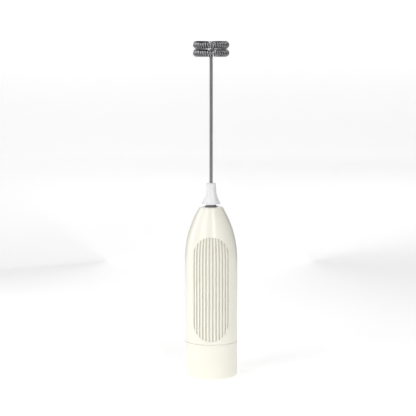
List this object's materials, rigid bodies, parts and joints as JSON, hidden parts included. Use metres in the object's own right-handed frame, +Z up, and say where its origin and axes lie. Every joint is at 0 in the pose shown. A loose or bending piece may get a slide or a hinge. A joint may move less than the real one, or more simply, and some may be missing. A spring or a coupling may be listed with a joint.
{
  "type": "milk frother",
  "caption": "Slim battery milk frother: round handle with finger grooves, motor inside, and a wire whisk with two coiled rings on a fluted collar.",
  "frame": {"origin": "middle of the flat bottom face of the battery cap, which the frother stands on", "axes": "+Z up the handle and the whisk; -Y is the front, with the finger grooves; +Y is the back, with the power button"},
  "size_m": [0.033, 0.033, 0.2096],
  "materials": {
    "body_plastic": "satin gloss, cream",
    "collar_plastic": "satin gloss, white",
    "whisk_steel": "polished stainless wire",
    "shaft_steel": "ground steel",
    "seal_rubber": "matt black rubber",
    "inner_plastic": "moulded, off-white",
    "screw_steel": "zinc plated",
    "can_steel": "nickel plated sheet",
    "magnet_ferrite": "sintered ferrite",
    "bell_plastic": "moulded nylon",
    "bush_bronze": "sintered bronze",
    "brush_carbon": "carbon on a bronze leaf",
    "terminal_tin": "tinned",
    "capacitor_ceramic": "dipped ceramic",
    "core_steel": "laminated iron",
    "winding_copper": "enamelled copper",
    "commutator_copper": "turned copper",
    "contact_nickel": "nickel plated spring steel",
    "button_spring_steel": "spring wire",
    "board_laminate": "green laminate",
    "switch_black": "black moulding",
    "plunger_white": "white moulding",
    "pin_tin": "tinned",
    "sleeve_red": "red sleeve",
    "sleeve_black": "black sleeve",
    "sleeve_blue": "blue sleeve",
    "cell_wrap": "plain printed wrap, no marks"
  },
  "bodies": {
    "handle": {"handle_shell": "body_plastic", "nose_seal": "seal_rubber", "battery_carriage": "inner_plastic", "motor_holder": "inner_plastic", "holder_screws": "screw_steel", "motor_can": "can_steel", "magnet_left": "magnet_ferrite", "magnet_right": "magnet_ferrite", "end_bell": "bell_plastic", "rear_bush": "bush_bronze", "front_bush": "bush_bronze", "brush_left": "brush_carbon", "brush_right": "brush_carbon", "motor_terminals": "terminal_tin", "noise_capacitor": "capacitor_ceramic", "positive_contact": "contact_nickel", "negative_contact": "contact_nickel", "negative_spring": "contact_nickel", "switch_board": "board_laminate", "switch_housing": "switch_black", "switch_pins": "pin_tin", "lead_red": "sleeve_red", "lead_black": "sleeve_black", "lead_switch": "sleeve_blue", "cell_nub_up": "cell_wrap", "cell_nub_down": "cell_wrap"},
    "rotor": {"motor_shaft": "shaft_steel", "armature_core": "core_steel", "armature_windings": "winding_copper", "commutator": "commutator_copper", "drive_hub": "shaft_steel"},
    "whisk": {"whisk_collar": "collar_plastic", "whisk_wire": "whisk_steel", "lower_coil": "whisk_steel", "upper_coil": "whisk_steel"},
    "button": {"button_cap": "body_plastic", "switch_plunger": "plunger_white", "button_spring": "button_spring_steel"},
    "cap": {"battery_cap": "body_plastic", "cap_seal": "seal_rubber", "cap_contact_bridge": "contact_nickel", "cap_spring": "contact_nickel"}
  },
  "joints": [
    {"name": "drive_spin", "type": "hinge", "parent": "handle", "child": "rotor", "pos_m": [0, 0, 0.1], "axis": [0, 0, 1], "continuous": true},
    {"name": "whisk_pull", "type": "slide", "parent": "rotor", "child": "whisk", "axis": [0, 0, 1], "range_m": [0, 0.02]},
    {"name": "power_button_press", "type": "slide", "parent": "handle", "child": "button", "axis": [0, -1, 0], "range_m": [0, 0.0012], "stiffness_N_per_m": 400, "springref_m": -0.0012, "deforming": ["button_spring"]},
    {"name": "battery_cap_pull", "type": "slide", "parent": "handle", "child": "cap", "axis": [0, 0, -1], "range_m": [0, 0.03]}
  ]
}
